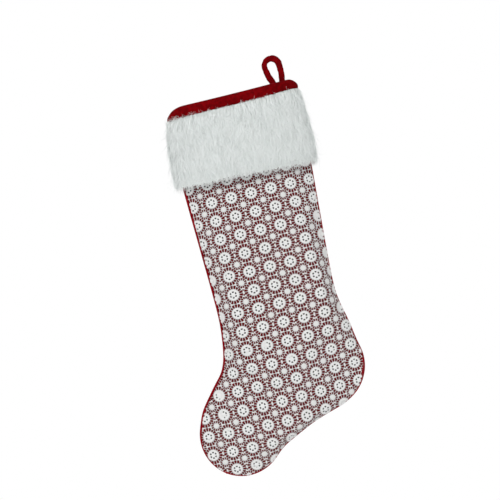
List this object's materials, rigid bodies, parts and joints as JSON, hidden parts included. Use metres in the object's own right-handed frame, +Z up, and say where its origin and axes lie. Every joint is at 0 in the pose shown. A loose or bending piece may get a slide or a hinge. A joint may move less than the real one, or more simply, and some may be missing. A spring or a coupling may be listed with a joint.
{
  "type": "hanging christmas stocking",
  "caption": "Sewn stocking bag with a lace-covered front, a long-pile fur cuff, a velvet-bound mouth and a strap loop to hang it by.",
  "frame": {"origin": "the point inside the hanging loop that bears on the hook", "axes": "+Z up, +X from the toe side to the heel side as it hangs, -Y out of the lace front, +Y towards the wall"},
  "size_m": [0.259, 0.059, 0.5459],
  "materials": {
    "red_velvet": "velvet",
    "white_lace": "crochet lace",
    "red_backing": "matte woven",
    "white_fur": "long pile fur",
    "lining_cloth": "satin",
    "red_thread": "thread",
    "white_thread": "thread",
    "label_tape": "woven tape"
  },
  "bodies": {
    "hanger": {"hanging_loop": "red_velvet"},
    "stocking": {"loop_tails": "red_velvet", "loop_bar_tack": "red_thread", "mouth_binding": "red_velvet", "binding_stitching": "red_thread", "cuff_front": "white_fur", "cuff_back": "white_fur", "cuff_top_seam": "white_thread", "cuff_side_seams": "white_thread", "lace_overlay": "white_lace", "front_panel": "red_backing", "back_panel": "red_velvet", "shell_seam": "red_thread", "lining_front": "lining_cloth", "lining_back": "lining_cloth", "lining_seam": "red_thread", "care_label": "label_tape"}
  },
  "joints": [
    {"name": "loop_base_fold", "type": "hinge", "parent": "hanger", "child": "stocking", "pos_m": [0.00668, 0, -0.02678], "axis": [0.9703, 0, 0.2419], "range_deg": [-85, 85]}
  ]
}
